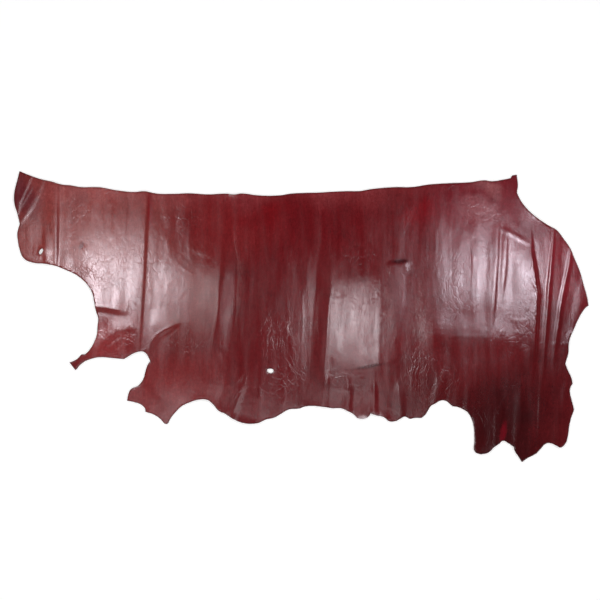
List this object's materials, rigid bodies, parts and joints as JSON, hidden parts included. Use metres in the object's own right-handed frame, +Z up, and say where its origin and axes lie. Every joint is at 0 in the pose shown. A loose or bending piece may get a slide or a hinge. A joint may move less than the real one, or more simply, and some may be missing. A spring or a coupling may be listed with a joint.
{
  "type": "leather hide",
  "caption": "Side of finished cattle leather laid out flat, grain side up, with a straight backbone edge, ragged belly and shank edges, small flay holes and soft folds",
  "frame": {"origin": "under the middle of the hide's bounding box, on the surface that it lies on", "axes": "+X runs along the backbone edge from the neck end to the rump; +Y points from the belly edge to the backbone edge; +Z is up, out of the grain side"},
  "size_m": [2.4005, 1.2156, 0.0074],
  "materials": {
    "leather": "deep burgundy aniline grain with a glazed, waxy gloss, rubbed paler and browner towards the neck; plain flesh side"
  },
  "bodies": {
    "root": {"hide": "leather"}
  },
  "joints": []
}
